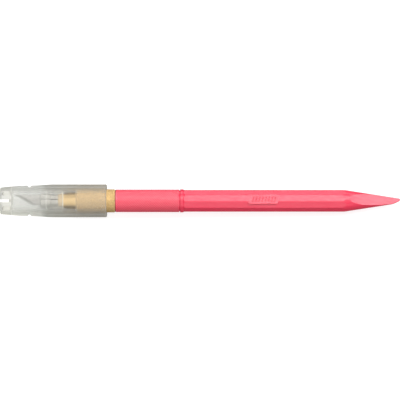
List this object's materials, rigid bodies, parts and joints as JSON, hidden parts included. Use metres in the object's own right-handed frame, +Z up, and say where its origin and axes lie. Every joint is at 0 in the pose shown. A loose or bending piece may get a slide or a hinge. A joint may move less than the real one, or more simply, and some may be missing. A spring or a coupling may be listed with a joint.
{
  "type": "art knife",
  "caption": "Capped precision art knife with a pointed blade in a screw-tightened jaw chuck, a frosted push-on cap and a spatula tail.",
  "frame": {"origin": "Centre of the bounding box, on the knife's axis, with the cap on.", "axes": "X runs along the knife, cap at -X and spatula tail at +X. The blade and the tail lie flat in the XY plane, the blade's back at +Y. Z is up, out of the facet with the raised pad."},
  "size_m": [0.147, 0.012, 0.012],
  "materials": {
    "frosted_shell": "frosted translucent",
    "frosted_liner": "frosted translucent",
    "blade_steel": "ground",
    "plated_steel": "satin nickel plate",
    "collar_brass": "fine knurl, turned nose",
    "spring_steel": "plain",
    "washer_nylon": "plain",
    "insert_steel": "turned",
    "pink_grip": "fine diamond texture",
    "pink_barrel": "satin moulded"
  },
  "bodies": {
    "handle": {"barrel": "pink_barrel", "grip_sleeve": "pink_grip", "core_insert": "insert_steel", "thrust_washer": "washer_nylon", "retaining_ring": "spring_steel"},
    "cap": {"cap_shell": "frosted_shell", "cap_liner": "frosted_liner"},
    "collar": {"lock_collar": "collar_brass"},
    "chuck": {"collet": "plated_steel", "blade": "blade_steel"}
  },
  "joints": [
    {"name": "cap_slide", "type": "slide", "parent": "handle", "child": "cap", "axis": [-1, 0, 0], "range_m": [0, 0.045]},
    {"name": "collar_turn", "type": "hinge", "parent": "handle", "child": "collar", "pos_m": [-0.038, 0, 0], "axis": [1, 0, 0], "range_deg": [0, 360]},
    {"name": "chuck_feed", "type": "slide", "parent": "handle", "child": "chuck", "axis": [-1, 0, 0], "range_m": [0, 0.0005]}
  ],
  "couplings": [
    {"joint": "collar_turn", "follows": "chuck_feed", "rad_per_m": 12566}
  ]
}
